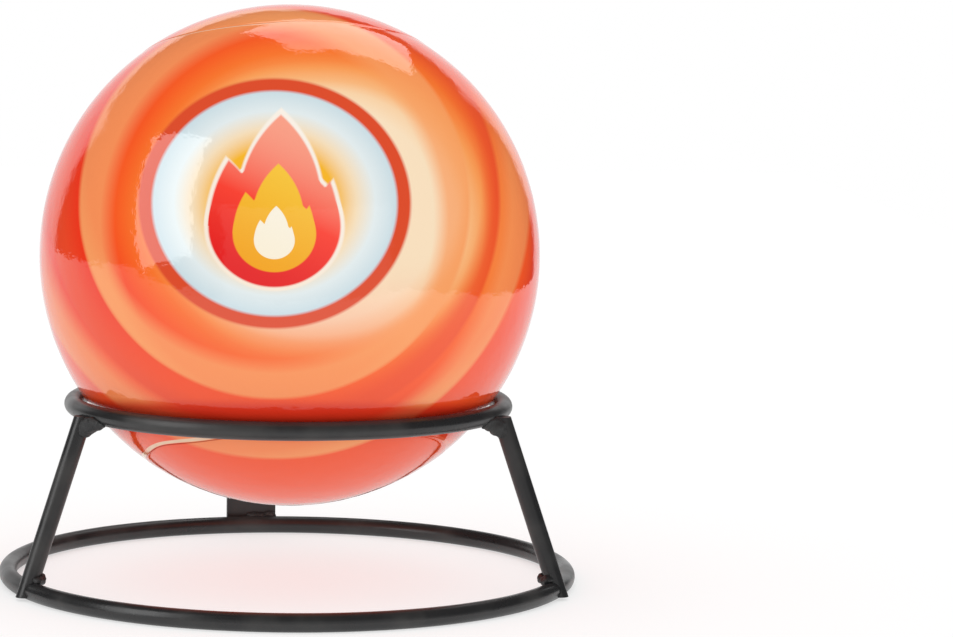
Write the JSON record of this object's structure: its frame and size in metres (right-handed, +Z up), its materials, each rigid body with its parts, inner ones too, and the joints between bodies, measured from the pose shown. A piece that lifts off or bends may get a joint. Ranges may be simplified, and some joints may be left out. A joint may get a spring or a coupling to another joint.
{
  "type": "fire extinguisher ball",
  "caption": "Round self-acting fire extinguisher in a glossy printed film, resting in a black welded wire stand that can stand on a floor or be screwed to a wall.",
  "frame": {"origin": "on the floor under the middle of the two rings and of the ball", "axes": "+Z up, +Y towards the wall that the flat strip is screwed to, +X to the right seen from the front"},
  "size_m": [0.1734, 0.1754, 0.1731],
  "materials": {
    "black_steel": "satin",
    "black_weld": "satin",
    "printed_film": "gloss",
    "white_foam": "matt",
    "fuse_cord": "matt",
    "powder": "matt",
    "card": "matt",
    "charge": "matt"
  },
  "bodies": {
    "root": {"lower_ring": "black_steel", "upper_ring": "black_steel", "left_leg": "black_steel", "right_leg": "black_steel", "wall_strip": "black_steel", "left_leg_top_weld": "black_weld", "right_leg_top_weld": "black_weld", "left_leg_foot_weld": "black_weld", "right_leg_foot_weld": "black_weld", "strip_top_weld": "black_weld", "strip_foot_weld": "black_weld", "shrink_film": "printed_film", "foam_shell_upper": "white_foam", "foam_shell_lower": "white_foam", "fuse_cord_front": "fuse_cord", "fuse_cord_right": "fuse_cord", "fuse_cord_rear": "fuse_cord", "fuse_cord_left": "fuse_cord", "fuse_lead_top": "fuse_cord", "fuse_lead_bottom": "fuse_cord", "powder_fill": "powder", "core_tube": "card", "core_cap_top": "card", "core_cap_bottom": "card", "core_charge": "charge"}
  },
  "joints": []
}
